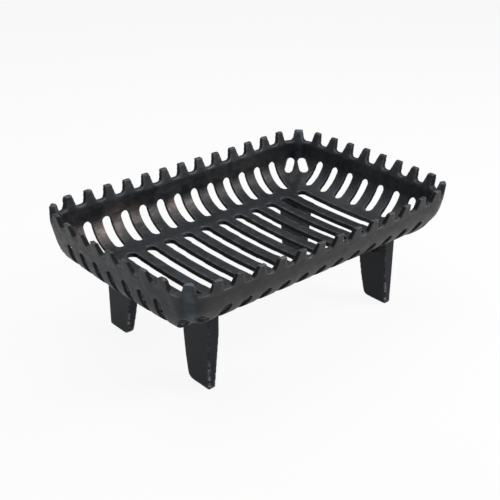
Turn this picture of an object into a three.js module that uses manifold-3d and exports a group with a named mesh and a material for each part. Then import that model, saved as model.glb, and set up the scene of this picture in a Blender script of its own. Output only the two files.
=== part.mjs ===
// Cast-iron log grate: a dished, slotted fire basket with a castellated rim, standing on four
// flat tapered legs. Each leg is bolted to a lug cast under the basket's floor.
//
// Millimetres, +Z up. The origin is on the ground, under the middle of the basket.
// X runs along the basket's length and Y across it.

import * as THREE from "three";
import { mergeVertices } from "three/addons/utils/BufferGeometryUtils.js";
import Module from "manifold-3d";

const wasm = await Module();
wasm.setup();

// ---------------------------------------------------------------- driving dimensions

// The rim, seen from above: a rounded rectangle whose sides bow outward.
const basketLength = 456;
const basketWidth = 301.4;
const rimHeight = 171.2;
const rimCornerRadius = 43.5;
const longSideBow = 2.8;
const shortSideBow = 6;

// The rim is lower in the middle of each side than at the corners.
const longSideDip = 3.7;
const shortSideDip = 1.2;

// Castellations.
const longSideTeeth = 13;
const shortSideTeeth = 8;
const toothHeight = 15.5;
const toothTopWidth = 10;
const toothBaseWidth = 17;
const toothTopThickness = 5.3;
const toothRootRadius = 3.5;

const rimThickness = 7.8;
const thickestBelowGap = 3;
const wallThickness = 3.9;

// Floor: a shallow dish across the width.
const floorHeight = 95.6;
const floorRise = 5;
const floorThickness = 7;

// Walls: a straight flare, in degrees from upright, then a bend of this inner radius down to the
// floor. The hand-made pattern has a different section on each side. The bend's lowest point is this
// far above the middle of the floor, and the bend stops short of it by the end angle.
const backFlare = 11;
const backBend = 37.5;
const backBendRise = floorRise;
const backBendEnd = 0;
const frontFlare = 12.4;
const frontBend = 61;
const frontBendRise = 3.4;
const frontBendEnd = 4;
const rightFlare = 22;
const rightBend = 62;
const rightBendRise = 0;
const rightBendEnd = 14;
const leftFlare = 14.6;
const leftBend = 37;
const leftBendRise = 0;
const leftBendEnd = 4;

// Slots in the walls and the floor. A wall slot's foot is an angle on the wall's bend, counted from
// straight down.
const longWallSlots = 12;
const shortWallSlots = 7;
const floorSlots = 12;
const longWallSlotWidth = 12.8;
const shortWallSlotWidth = 12;
const floorSlotWidth = 14.3;
const longSlotRowInset = 20.3;
const shortSlotRowInset = 18;
const floorSlotRowInset = 16.3;
const floorSlotEndGap = 15.5;
const longSlotRowDip = 1.8;
const backSlotBelowRim = 39.5;
const backSlotFoot = 6;
const frontSlotBelowRim = 37;
const frontSlotFoot = 23;
const rightSlotBelowRim = 36.5;
const rightSlotFoot = 30;
const leftSlotBelowRim = 33;
const leftSlotFoot = 10;

// Openings on both sides of each corner rib.
const cornerRibWidth = 12.5;
const cornerOvalWidth = 10.5;
const cornerOvalHeight = 23;
const cornerOvalTurn = 20;
const cornerOvalTilt = 30;
const cornerOvalTopBelowRim = 33.5;
const backRightOvalShift = 2.8;

// How far each corner sags below the line of its walls, where it meets the floor.
const backRightSag = 3;
const backLeftSag = 1;
const frontRightSag = 6;
const frontLeftSag = -5;

// Legs: blades with an upright outer face and an upright outer edge. They widen and thicken upward.
const legEndInset = 71;
const legSideInset = 50.1;
const legFootWidth = 38.6;
const legKneeHeight = 30;
const legKneeWidth = 43.6;
const legTopWidth = 50.2;
const legFootThickness = 9;
const legTopThickness = 15.8;
const legShoulderHeight = 74;
const legInnerFootRadius = 8;
const legOuterFootRadius = 3;

// Lugs cast under the floor. Each fills a rebate in the inner side of a leg's top.
const lugThickness = 6.5;
const lugInnerReach = 10;
const lugOuterReach = 15;
const lugDrop = 17.5;
const lugChamfer = 9;
const seatGap = 0.3;

// M6 fasteners: each bolt passes through a lug and is screwed into the leg.
const boltDiameter = 6;
const boltClearance = 0.3;
const boltBelowFloor = 10.4;
const boltFromLegEdge = 25.6;
const boltEngagement = 7;
const boltHeadFlats = 10;
const boltHeadHeight = 4;
const washerDiameter = 12;
const washerThickness = 1.6;

// Fineness of the curves.
const cornerSteps = 4;
const bendSteps = 3;
const floorShares = [0.5, 0, -0.5];
const slotSteps = 2;
const slotEndSides = 8;
const roundSides = 16;

// ---------------------------------------------------------------- materials

const castIron = { color: 0x35353a, roughness: 0.62, metalness: 0.35 };
const blackedIron = { color: 0x2c3034, roughness: 0.55, metalness: 0.35 };
const blackenedSteel = { color: 0x3a3a3c, roughness: 0.45, metalness: 0.8 };

// ---------------------------------------------------------------- helpers

const toRadians = THREE.MathUtils.degToRad;

// A closed three.js geometry as a solid that can be cut and joined.
function solid(geometry) {
  const bare = geometry.clone();
  bare.deleteAttribute("normal");
  bare.deleteAttribute("uv");
  const merged = mergeVertices(bare, 1e-4);
  return new wasm.Manifold(new wasm.Mesh({
    numProp: 3,
    vertProperties: Float32Array.from(merged.attributes.position.array),
    triVerts: Uint32Array.from(merged.index.array),
  }));
}

// A solid back as a three.js geometry.
function geometryOf(body) {
  const result = body.getMesh();
  const geometry = new THREE.BufferGeometry();
  geometry.setAttribute("position", new THREE.BufferAttribute(result.vertProperties, 3));
  geometry.setIndex(new THREE.BufferAttribute(result.triVerts, 1));
  geometry.computeVertexNormals();
  return geometry;
}

function piece(name, geometry, finish) {
  const mesh = new THREE.Mesh(geometry, new THREE.MeshStandardMaterial(finish));
  mesh.name = name;
  return mesh;
}

// A bar with round ends along Y, standing on Z = 0.
function obround(width, length, depth, endSteps) {
  const radius = width / 2;
  const middle = Math.max(length / 2 - radius, 0);
  const outline = new THREE.Shape();
  outline.absarc(0, middle, radius, 0, Math.PI, false);
  outline.absarc(0, -middle, radius, Math.PI, 2 * Math.PI, false);
  return new THREE.ExtrudeGeometry(outline, { depth, bevelEnabled: false, curveSegments: endSteps });
}

// ---------------------------------------------------------------- basket: its two skins

// The corner arcs' centres, which are also where the first and last tooth of each side stand.
const cornerX = basketLength / 2 - shortSideBow - rimCornerRadius;
const cornerY = basketWidth / 2 - longSideBow - rimCornerRadius;
const longToothPitch = (2 * cornerX) / (longSideTeeth - 1);
const shortToothPitch = (2 * cornerY) / (shortSideTeeth - 1);
const longStations = (longSideTeeth - 1) / 2;
const shortStations = shortSideTeeth / 2 - 1;
const thickestHeight = rimHeight - toothHeight - thickestBelowGap;

// A wall's section: its flare, its bend and the bend's centre.
function wallAt(halfSpan, flare, bend, bendRise, bendEnd) {
  const slope = toRadians(flare);
  const lowest = floorHeight + bendRise;
  const tangentHeight = lowest + bend * (1 - Math.sin(slope));
  const tangentAcross = halfSpan - toothTopThickness - (rimHeight - tangentHeight) * Math.tan(slope);
  const centre = { across: tangentAcross - bend * Math.cos(slope), height: lowest + bend };
  return { halfSpan, flare, bend, bendEnd, centre };
}

const backWall = wallAt(basketWidth / 2, backFlare, backBend, backBendRise, backBendEnd);
const frontWall = wallAt(basketWidth / 2, frontFlare, frontBend, frontBendRise, frontBendEnd);
const rightWall = wallAt(basketLength / 2, rightFlare, rightBend, rightBendRise, rightBendEnd);
const leftWall = wallAt(basketLength / 2, leftFlare, leftBend, leftBendRise, leftBendEnd);

// Height of the floor's top face at a distance from the basket's long middle line.
function floorTop(y) {
  return floorHeight + floorRise * (y / backWall.centre.across) ** 2;
}

// A point of a wall's skin on its bend: the angle counts up from straight below the bend's centre.
function bendPoint(wall, angle, depth) {
  const turn = toRadians(angle);
  const radius = wall.bend + depth;
  return [wall.centre.across + radius * Math.sin(turn), wall.centre.height - radius * Math.cos(turn)];
}

// A wall's section in the middle of its side, from the tooth tops down to the end of its bend, as
// distances from the basket's middle and heights.
function wallSection(wall, outer) {
  const startAngle = 90 - wall.flare;
  const bendRows = [];
  for (let step = 0; step <= bendSteps; step += 1) {
    const share = step / bendSteps;
    const depth = wallThickness + (floorThickness - wallThickness) * share ** 3;
    const angle = startAngle + (wall.bendEnd - startAngle) * share;
    bendRows.push(bendPoint(wall, angle, outer ? depth : 0));
  }
  const outerTangent = bendPoint(wall, startAngle, wallThickness);
  const fall = (rimHeight - thickestHeight) / (rimHeight - outerTangent[1]);
  const outerAtThickest = wall.halfSpan + (outerTangent[0] - wall.halfSpan) * fall;
  const top = [wall.halfSpan - (outer ? 0 : toothTopThickness), rimHeight];
  const thickest = [outerAtThickest - (outer ? 0 : rimThickness), thickestHeight];
  return [top, thickest, ...bendRows];
}

// How the rows of a skin differ from the rim's outline: how much of the rim's bow and dip they
// keep, how much of the floor's dish and of the corners' sag they have, and their corner radius.
const rowBow = [1, 0.7, 0.4, 0.2, 0.1, 0];
const rowDip = [1, 1, 1, 0.5, 0, 0];
const rowDish = [0, 0, 0, 0.2, 0.7, 1];
const rowRadius = [rimCornerRadius, 31, 26, 23, 19, 14];
const rowSag = [0, 0, 0, 0.6, 1, 0.3];

// Points of one quarter of a row, from the middle of the long side to the middle of the short one.
function quarterRow(row, long, short, cornerSag) {
  const endX = short[0] - shortSideBow * rowBow[row];
  const endY = long[0] - longSideBow * rowBow[row];
  const lastStation = (longStations - 1) * longToothPitch;
  const radius = Math.min(rowRadius[row], endX - lastStation - wallThickness / 2);
  const centreX = endX - radius;
  const centreY = endY - radius;
  const points = [];
  const shortHeight = (y) => short[1] + rowDish[row] * (floorTop(y) - floorHeight);
  for (let tooth = 0; tooth < longStations; tooth += 1) {
    const x = tooth * longToothPitch;
    const share = x / cornerX;
    const y = endY + longSideBow * rowBow[row] * (1 - share ** 2);
    const z = long[1] - longSideDip * rowDip[row] * (1 - share ** 2);
    points.push(new THREE.Vector3(x, y, z));
  }
  for (let step = 0; step <= cornerSteps; step += 1) {
    const angle = (Math.PI / 2) * (1 - step / cornerSteps);
    const x = centreX + radius * Math.cos(angle);
    const y = centreY + radius * Math.sin(angle);
    const share = Math.sin(angle) ** 2;
    const sag = cornerSag * rowSag[row] * Math.sin(2 * angle) ** 2;
    points.push(new THREE.Vector3(x, y, long[1] * share + shortHeight(y) * (1 - share) - sag));
  }
  for (let tooth = 1; tooth <= shortStations; tooth += 1) {
    const y = cornerY - tooth * shortToothPitch;
    const share = y / cornerY;
    const x = endX + shortSideBow * rowBow[row] * (1 - share ** 2);
    const z = shortHeight(y) - shortSideDip * rowDip[row] * (1 - share ** 2);
    points.push(new THREE.Vector3(x, y, z));
  }
  return points;
}

// The rings of the inner or the outer skin, clockwise from above, from the rim to the floor's edge.
function skinRings(outer) {
  const back = wallSection(backWall, outer);
  const front = wallSection(frontWall, outer);
  const right = wallSection(rightWall, outer);
  const left = wallSection(leftWall, outer);
  return back.map((_, row) => {
    const quarter = (long, short, sag, signX, signY) => {
      const points = quarterRow(row, long[row], short[row], sag);
      return points.map((p) => new THREE.Vector3(p.x * signX, p.y * signY, p.z));
    };
    return [
      ...quarter(back, right, backRightSag, 1, 1),
      ...quarter(front, right, frontRightSag, 1, -1).reverse(),
      ...quarter(front, left, frontLeftSag, -1, -1).slice(1),
      ...quarter(back, left, backLeftSag, -1, 1).reverse().slice(0, -1),
    ];
  });
}

// Triangles between two rows of points that run the same way, nearest partners first.
function bridge(first, second, order) {
  const faces = [];
  let i = 0;
  let j = 0;
  while (i + 1 < first.length || j + 1 < second.length) {
    const nextFirst = i + 1 < first.length ? order(first[i + 1]) : Infinity;
    const nextSecond = j + 1 < second.length ? order(second[j + 1]) : Infinity;
    if (nextFirst < nextSecond) {
      faces.push([first[i], first[i + 1], second[j]]);
      i += 1;
    } else {
      faces.push([first[i], second[j + 1], second[j]]);
      j += 1;
    }
  }
  return faces;
}

// One face of the floor, inside its edge ring: columns of points across the basket, each in line
// with a tooth and so between two slots, and the ends out to the short walls.
function floorFaces(ring, depth) {
  const half = ring.length / 2;
  const reach = longStations - 1;
  const columns = [];
  for (let step = -reach; step <= reach; step += 1) {
    const far = ring[(step + ring.length) % ring.length];
    const near = ring[half - step];
    const middles = floorShares.map((share) => {
      const y = far.y * share;
      return new THREE.Vector3(far.x, y, floorTop(y) - depth);
    });
    columns.push([far, ...middles, near]);
  }
  columns.unshift(ring.slice(half + reach + 1, ring.length - reach).reverse());
  columns.push(ring.slice(reach + 1, half - reach));
  const faces = [];
  for (let step = 0; step + 1 < columns.length; step += 1) {
    faces.push(...bridge(columns[step], columns[step + 1], (point) => -point.y));
  }
  return faces;
}

// The uncut basket: one closed skin over both its faces.
function basketShell() {
  const outer = skinRings(true).reverse();
  const inner = skinRings(false);
  const rings = [...outer, ...inner];
  const count = rings[0].length;
  const positions = [];
  const face = (a, b, c) => [a, b, c].forEach((p) => positions.push(p.x, p.y, p.z));
  for (let row = 0; row + 1 < rings.length; row += 1) {
    for (let i = 0; i < count; i += 1) {
      const next = (i + 1) % count;
      face(rings[row][i], rings[row + 1][i], rings[row + 1][next]);
      face(rings[row][i], rings[row + 1][next], rings[row][next]);
    }
  }
  floorFaces(rings[0], floorThickness).forEach(([a, b, c]) => face(a, c, b));
  floorFaces(rings[rings.length - 1], 0).forEach(([a, b, c]) => face(a, b, c));
  const geometry = new THREE.BufferGeometry();
  geometry.setAttribute("position", new THREE.Float32BufferAttribute(positions, 3));
  return solid(geometry);
}

// ---------------------------------------------------------------- basket: castellations

// The middle of each tooth's top on the rim, clockwise from above, corner teeth included.
function toothPlaces() {
  const inset = toothTopThickness / 2;
  const places = [];
  const add = (x, y, z) => places.push(new THREE.Vector3(x, y, z));
  const longSide = (sign) => {
    for (let tooth = 0; tooth < longSideTeeth; tooth += 1) {
      const share = -1 + (2 * tooth) / (longSideTeeth - 1);
      const y = basketWidth / 2 - inset - longSideBow * share ** 2;
      add(sign * cornerX * share, sign * y, rimHeight - longSideDip * (1 - share ** 2));
    }
  };
  const shortSide = (sign) => {
    for (let tooth = 0; tooth < shortSideTeeth; tooth += 1) {
      const share = 1 - (2 * tooth) / (shortSideTeeth - 1);
      const x = basketLength / 2 - inset - shortSideBow * share ** 2;
      add(sign * x, sign * cornerY * share, rimHeight - shortSideDip * (1 - share ** 2));
    }
  };
  const corner = (signX, signY) => {
    const reach = (rimCornerRadius - inset) * Math.SQRT1_2;
    add(signX * (cornerX + reach), signY * (cornerY + reach), rimHeight);
  };
  longSide(1);
  corner(1, 1);
  shortSide(1);
  corner(1, -1);
  longSide(-1);
  corner(-1, -1);
  shortSide(-1);
  corner(-1, 1);
  return places;
}

// The space between two teeth: wide at the top, with rounded roots, cut square through the rim.
function gapBetween(first, second) {
  const spacing = first.distanceTo(second);
  const floorHalf = (spacing - toothBaseWidth) / 2;
  const topHalf = (spacing - toothTopWidth) / 2;
  const slope = (topHalf - floorHalf) / toothHeight;
  const over = 6;
  const root = Math.min(toothRootRadius, floorHalf * 0.9);
  const outline = new THREE.Shape();
  outline.moveTo(-topHalf - slope * over, toothHeight + over);
  outline.lineTo(-floorHalf - slope * root, root);
  outline.quadraticCurveTo(-floorHalf, 0, root - floorHalf, 0);
  outline.lineTo(floorHalf - root, 0);
  outline.quadraticCurveTo(floorHalf, 0, floorHalf + slope * root, root);
  outline.lineTo(topHalf + slope * over, toothHeight + over);
  outline.closePath();
  const reach = 6 * rimThickness;
  const cutter = new THREE.ExtrudeGeometry(outline, { depth: reach, bevelEnabled: false, curveSegments: 2 });
  const middle = first.clone().add(second).multiplyScalar(0.5);
  cutter.translate(0, 0, -reach / 2);
  cutter.rotateX(Math.PI / 2);
  cutter.rotateZ(Math.atan2(second.y - first.y, second.x - first.x));
  cutter.translate(middle.x, middle.y, middle.z - toothHeight);
  return solid(cutter);
}

// ---------------------------------------------------------------- basket: slots and corner openings

// A slot down a wall, in the wall's own section plane: it follows the bend from below the rim to a
// point near the floor, and both its ends are round.
function wallSlot(wall, width, topHeight, footAngle) {
  const radius = width / 2;
  const reach = wall.bend * 0.7;
  const slope = toRadians(wall.flare);
  const drop = wall.centre.height - topHeight + radius;
  const straight = Math.max(wall.bend * Math.sin(slope) - drop, 0);
  const up = [straight * Math.tan(slope), straight];
  const dropAngle = Math.acos(Math.min(Math.max(drop / wall.bend, 0), 1)) * THREE.MathUtils.RAD2DEG;
  const startAngle = Math.min(90 - wall.flare, dropAngle);
  const footTurn = (radius / wall.bend) * THREE.MathUtils.RAD2DEG;
  const rows = straight > 0 ? [[startAngle, up]] : [];
  for (let step = 0; step <= slotSteps; step += 1) {
    rows.push([startAngle + (footAngle + footTurn - startAngle) * (step / slotSteps), [0, 0]]);
  }
  const edge = (depth) => rows.map(([angle, lift]) => {
    const [across, height] = bendPoint(wall, angle, depth);
    return new THREE.Vector2(across + lift[0], height + lift[1]);
  });
  const inner = edge(-reach);
  const outer = edge(reach / 2);
  const section = new THREE.Shape([...inner, ...outer.reverse()]);
  const bar = new THREE.ExtrudeGeometry(section, { depth: width, bevelEnabled: false });
  bar.translate(0, 0, -radius);
  const ends = [rows[0], rows[rows.length - 1]].map(([angle, lift]) => {
    const [across, height] = bendPoint(wall, angle, -reach);
    const pin = new THREE.CylinderGeometry(radius, radius, reach * 1.5, slotEndSides);
    pin.translate(0, reach * 0.75, 0);
    pin.rotateZ(toRadians(angle) - Math.PI);
    pin.translate(across + lift[0], height + lift[1], 0);
    return pin;
  });
  return [bar, ...ends];
}

// A cutter made in a wall's section plane, turned to stand on the basket.
function placeInWall(shapes, shift, alongX, sign) {
  let cutter = null;
  for (const shape of shapes) {
    const turned = shape.clone();
    turned.rotateX(Math.PI / 2);
    turned.rotateZ(alongX ? (sign * Math.PI) / 2 : (1 - sign) * (Math.PI / 2));
    turned.translate(alongX ? shift : 0, alongX ? 0 : shift, 0);
    const body = solid(turned);
    cutter = cutter ? cutter.add(body) : body;
  }
  return cutter;
}

function wallSlots() {
  const cutters = [];
  const rowX = cornerX - longSlotRowInset;
  const rowY = cornerY - shortSlotRowInset;
  const longRow = (wall, belowRim, foot, sign) => {
    for (let slot = 0; slot < longWallSlots; slot += 1) {
      const share = -1 + (2 * slot) / (longWallSlots - 1);
      const top = rimHeight - belowRim - longSlotRowDip * (1 - share ** 2);
      const shapes = wallSlot(wall, longWallSlotWidth, top, foot);
      cutters.push(placeInWall(shapes, rowX * share, true, sign));
    }
  };
  const shortRow = (wall, belowRim, foot, sign) => {
    for (let slot = 0; slot < shortWallSlots; slot += 1) {
      const share = -1 + (2 * slot) / (shortWallSlots - 1);
      const shapes = wallSlot(wall, shortWallSlotWidth, rimHeight - belowRim, foot);
      cutters.push(placeInWall(shapes, rowY * share, false, sign));
    }
  };
  longRow(backWall, backSlotBelowRim, backSlotFoot, 1);
  longRow(frontWall, frontSlotBelowRim, frontSlotFoot, -1);
  shortRow(rightWall, rightSlotBelowRim, rightSlotFoot, 1);
  shortRow(leftWall, leftSlotBelowRim, leftSlotFoot, -1);
  return cutters;
}

// How far from the middle line the floor's slots end.
const floorSlotEnd = backWall.centre.across - floorSlotEndGap;

// The slots through the floor, side by side along the basket.
function floorSlotCutters() {
  const length = 2 * floorSlotEnd;
  const rowX = cornerX - floorSlotRowInset;
  const cutters = [];
  for (let slot = 0; slot < floorSlots; slot += 1) {
    const shape = obround(floorSlotWidth, length, floorThickness + 3 * floorRise, slotEndSides / 2);
    const share = -1 + (2 * slot) / (floorSlots - 1);
    shape.translate(rowX * share, 0, floorHeight - floorThickness - floorRise);
    cutters.push(solid(shape));
  }
  return cutters;
}

// The two openings beside each corner rib, in the bend of the corner.
function cornerOvals() {
  const cutters = [];
  const side = (cornerRibWidth + cornerOvalWidth) / 2;
  const reach = 60;
  for (const [signX, signY] of [[1, 1], [1, -1], [-1, 1], [-1, -1]]) {
    for (const hand of [1, -1]) {
      const shape = obround(cornerOvalWidth, cornerOvalHeight, reach, slotEndSides / 2);
      shape.translate(0, -cornerOvalHeight / 2, -reach * 0.3);
      shape.rotateX(Math.PI / 2 - toRadians(cornerOvalTilt) * -1);
      shape.rotateZ(hand * toRadians(cornerOvalTurn));
      shape.translate(signX + signY > 0 ? backRightOvalShift - hand * side : -hand * side, 0, 0);
      const heading = Math.atan2(signY, signX);
      shape.rotateZ(heading + Math.PI / 2);
      const reachOut = rimCornerRadius * 0.45;
      shape.translate(
        signX * (cornerX + reachOut * Math.SQRT1_2),
        signY * (cornerY + reachOut * Math.SQRT1_2),
        rimHeight - cornerOvalTopBelowRim,
      );
      cutters.push(solid(shape));
    }
  }
  return cutters;
}

// ---------------------------------------------------------------- basket: lugs

const legFace = basketLength / 2 - legEndInset;
const legEdge = basketWidth / 2 - legSideInset;
const lugInnerFace = legFace - legTopThickness;
const boltAcross = legEdge - boltFromLegEdge;
const floorBottom = floorTop(boltAcross) - floorThickness;
const boltHeight = floorBottom - boltBelowFloor;

// A round pin or hole along X, from one X to another, at a bolt's place.
function boltCylinder(radius, from, to, sides) {
  const cylinder = new THREE.CylinderGeometry(radius, radius, Math.abs(to - from), sides);
  cylinder.rotateZ(Math.PI / 2);
  cylinder.translate((from + to) / 2, boltAcross, boltHeight);
  return cylinder;
}

// A lug's block at +X, +Y, or the rebate it fills: the same outline, larger by the gap around it. Its
// lower corner under the floor's border is cut away.
function lugBlock(top, gap) {
  const bottom = floorBottom - lugDrop - gap;
  const inner = boltAcross - lugInnerReach - gap;
  const outer = boltAcross + lugOuterReach + gap;
  const outline = new THREE.Shape();
  outline.moveTo(inner, bottom);
  outline.lineTo(outer - lugChamfer, bottom);
  outline.lineTo(outer, bottom + lugChamfer);
  outline.lineTo(outer, top);
  outline.lineTo(inner, top);
  const overlap = gap > 0 ? lugThickness : 0;
  const depth = lugThickness + gap + overlap;
  const block = new THREE.ExtrudeGeometry(outline, { depth, bevelEnabled: false });
  block.rotateX(Math.PI / 2);
  block.rotateZ(Math.PI / 2);
  block.translate(lugInnerFace - overlap, 0, 0);
  return block;
}

// ---------------------------------------------------------------- basket

const quarters = [
  { name: "front_left", x: -1, y: -1 },
  { name: "front_right", x: 1, y: -1 },
  { name: "back_left", x: -1, y: 1 },
  { name: "back_right", x: 1, y: 1 },
];

// A shape made at +X, +Y, turned or mirrored into another quarter. A mirrored shape's faces are
// turned back so that they still point outward.
function inQuarter(geometry, { x, y }) {
  const placed = geometry.index ? geometry.toNonIndexed() : geometry.clone();
  placed.scale(x, y, 1);
  if (x * y < 0) {
    const points = placed.attributes.position;
    for (let i = 0; i < points.count; i += 3) {
      const swap = [points.getX(i), points.getY(i), points.getZ(i)];
      points.setXYZ(i, points.getX(i + 1), points.getY(i + 1), points.getZ(i + 1));
      points.setXYZ(i + 1, ...swap);
    }
  }
  return placed;
}

const shell = basketShell();

function castBasket() {
  let body = shell;
  const teeth = toothPlaces();
  teeth.forEach((tooth, index) => {
    body = body.subtract(gapBetween(tooth, teeth[(index + 1) % teeth.length]));
  });
  for (const cutter of [...wallSlots(), ...floorSlotCutters(), ...cornerOvals()]) {
    body = body.subtract(cutter);
  }
  const block = lugBlock(floorBottom + floorThickness / 2, 0);
  const radius = boltDiameter / 2 + boltClearance;
  const hole = boltCylinder(radius, lugInnerFace - lugThickness, legFace, roundSides);
  for (const quarter of quarters) {
    body = body.add(solid(inQuarter(block, quarter)));
    body = body.subtract(solid(inQuarter(hole, quarter)));
  }
  return geometryOf(body);
}

// ---------------------------------------------------------------- legs

// A leg's outline seen along X: Y away from the middle line, Z up. It reaches up into the floor.
function legOutline() {
  const inner = (width) => legEdge - width;
  const outline = new THREE.Shape();
  outline.moveTo(legEdge, legOuterFootRadius);
  const topSteps = 3;
  for (let step = 0; step <= topSteps; step += 1) {
    const y = legEdge - (legTopWidth * step) / topSteps;
    outline.lineTo(y, floorTop(y) - floorThickness / 2);
  }
  outline.lineTo(inner(legKneeWidth), legKneeHeight);
  const slant = (legKneeWidth - legFootWidth) / legKneeHeight;
  outline.lineTo(inner(legFootWidth + slant * legInnerFootRadius), legInnerFootRadius);
  outline.quadraticCurveTo(inner(legFootWidth), 0, inner(legFootWidth - legInnerFootRadius), 0);
  outline.lineTo(legEdge - legOuterFootRadius, 0);
  outline.quadraticCurveTo(legEdge, 0, legEdge, legOuterFootRadius);
  return outline;
}

// What a leg's inner face loses below its shoulder: a wedge that deepens down to the foot.
function legTaper() {
  const over = 5;
  const shoulder = legFace - legTopThickness;
  const foot = legFace - legFootThickness;
  const slant = (foot - shoulder) / legShoulderHeight;
  const outline = new THREE.Shape();
  outline.moveTo(shoulder - over, -over);
  outline.lineTo(foot + slant * over, -over);
  outline.lineTo(shoulder, legShoulderHeight);
  outline.lineTo(shoulder - over, legShoulderHeight);
  const wedge = new THREE.ExtrudeGeometry(outline, { depth: 2 * legEdge, bevelEnabled: false });
  wedge.rotateX(Math.PI / 2);
  wedge.translate(0, 2 * legEdge, 0);
  return wedge;
}

// The leg of one quarter: its top is cut to the basket's underside and rebated for the lug, and its
// threaded hole is a plain one.
function leg(quarter) {
  const extrusion = { depth: legTopThickness, bevelEnabled: false, curveSegments: 4 };
  const blade = new THREE.ExtrudeGeometry(legOutline(), extrusion);
  blade.rotateX(Math.PI / 2);
  blade.rotateZ(Math.PI / 2);
  blade.translate(legFace - legTopThickness, 0, 0);
  const radius = boltDiameter / 2 + boltClearance;
  const end = lugInnerFace + lugThickness + boltEngagement + boltClearance;
  let body = solid(inQuarter(blade, quarter));
  for (const lift of [-seatGap, wallThickness / 2, wallThickness * 1.4]) {
    body = body.subtract(shell.translate(0, 0, lift));
  }
  const hole = boltCylinder(radius, lugInnerFace, end, roundSides);
  for (const cut of [legTaper(), lugBlock(rimHeight, seatGap), hole]) {
    body = body.subtract(solid(inQuarter(cut, quarter)));
  }
  return geometryOf(body);
}

// ---------------------------------------------------------------- fasteners

// The bolt at +X, +Y: a hexagon head inside the lug and a shank into the leg.
function bolt() {
  const headFace = lugInnerFace - washerThickness - 2 * seatGap;
  const circumradius = boltHeadFlats / Math.sqrt(3);
  const head = boltCylinder(circumradius, headFace - boltHeadHeight, headFace, 6);
  const tip = lugInnerFace + lugThickness + boltEngagement;
  const shank = boltCylinder(boltDiameter / 2, headFace - boltHeadHeight / 2, tip, roundSides);
  return geometryOf(solid(head).add(solid(shank)));
}

// The flat washer between the bolt's head and the lug.
function washer() {
  const outerFace = lugInnerFace - seatGap;
  const innerFace = outerFace - washerThickness;
  const disc = boltCylinder(washerDiameter / 2, innerFace, outerFace, 2 * roundSides);
  const radius = boltDiameter / 2 + boltClearance;
  const hole = boltCylinder(radius, innerFace - washerThickness, outerFace + washerThickness, roundSides);
  return geometryOf(solid(disc).subtract(solid(hole)));
}

// ---------------------------------------------------------------- assembly

const grate = new THREE.Group();
grate.add(piece("basket", castBasket(), castIron));

for (const quarter of quarters) {
  grate.add(piece(`leg_${quarter.name}`, leg(quarter), blackedIron));
}
for (const [kind, geometry] of [["bolt", bolt()], ["washer", washer()]]) {
  for (const quarter of quarters) {
    grate.add(piece(`${kind}_${quarter.name}`, inQuarter(geometry, quarter), blackenedSteel));
  }
}

export default grate;
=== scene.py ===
import math

import bmesh
import bpy
import numpy as np
from mathutils import Matrix, Vector


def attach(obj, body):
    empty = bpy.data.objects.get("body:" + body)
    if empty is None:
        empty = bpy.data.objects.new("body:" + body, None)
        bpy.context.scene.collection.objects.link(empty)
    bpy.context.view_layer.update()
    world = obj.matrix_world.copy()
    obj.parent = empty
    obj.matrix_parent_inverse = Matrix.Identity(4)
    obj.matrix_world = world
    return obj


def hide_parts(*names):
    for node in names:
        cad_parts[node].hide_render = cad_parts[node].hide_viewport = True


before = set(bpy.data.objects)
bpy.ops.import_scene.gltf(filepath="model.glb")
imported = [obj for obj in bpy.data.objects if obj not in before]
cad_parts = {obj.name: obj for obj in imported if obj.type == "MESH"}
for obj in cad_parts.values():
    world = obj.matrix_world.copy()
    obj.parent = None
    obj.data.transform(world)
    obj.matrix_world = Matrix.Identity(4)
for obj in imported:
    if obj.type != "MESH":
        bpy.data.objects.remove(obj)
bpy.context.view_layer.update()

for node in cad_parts.values():
    node.select_set(False)

# ------------------------------------------------------------------ basket
# The basket is one sand casting in grey iron: a dished tray on a floor of bars, with slotted walls
# and a castellated rim. It was poured in one piece, fettled, and blackened, and its edges have
# since rubbed back to a lighter grey.

MM = 0.001

BASKET_LENGTH = 456.0
BASKET_WIDTH = 301.4
RIM_HEIGHT = 171.2
RIM_CORNER_RADIUS = 43.5
LONG_SIDE_BOW = 2.8
SHORT_SIDE_BOW = 6.0
LONG_SIDE_DIP = 3.7
SHORT_SIDE_DIP = 1.2
LONG_SIDE_TEETH = 13
SHORT_SIDE_TEETH = 8
TOOTH_HEIGHT = 15.5
TOOTH_TOP_WIDTH = 10.0
TOOTH_BASE_WIDTH = 17.0
TOOTH_THICKNESS = 5.3
TOOTH_ROOT_RADIUS = 3.5
RIM_THICKNESS = 7.8
THICKEST_HEIGHT = RIM_HEIGHT - TOOTH_HEIGHT - 3.0
WALL_THICKNESS = 3.9
FLOOR_HEIGHT = 95.6
FLOOR_RISE = 5.0
FLOOR_THICKNESS = 7.0


# Each wall's flare from upright, inner bend radius, rise of its lowest point above the floor's
# middle, and the angle where the bend meets the floor. The slots' top below the rim and their
# foot's angle follow.
class Wall:
    def __init__(self, span, flare, bend, rise, end, slot_drop, slot_foot, slot_width):
        self.span = span / 2
        self.flare = math.radians(flare)
        self.bend = bend
        self.end = math.radians(end)
        self.slot_top = RIM_HEIGHT - slot_drop
        self.slot_foot = math.radians(slot_foot)
        self.slot_width = slot_width
        lowest = FLOOR_HEIGHT + rise
        tangent = lowest + bend * (1 - math.sin(self.flare))
        across = self.span - TOOTH_THICKNESS - (RIM_HEIGHT - tangent) * math.tan(self.flare)
        self.across = across - bend * math.cos(self.flare)
        self.height = lowest + bend

    def at(self, angle, depth):
        reach = self.bend + depth
        return self.across + reach * math.sin(angle), self.height - reach * math.cos(angle)


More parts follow.
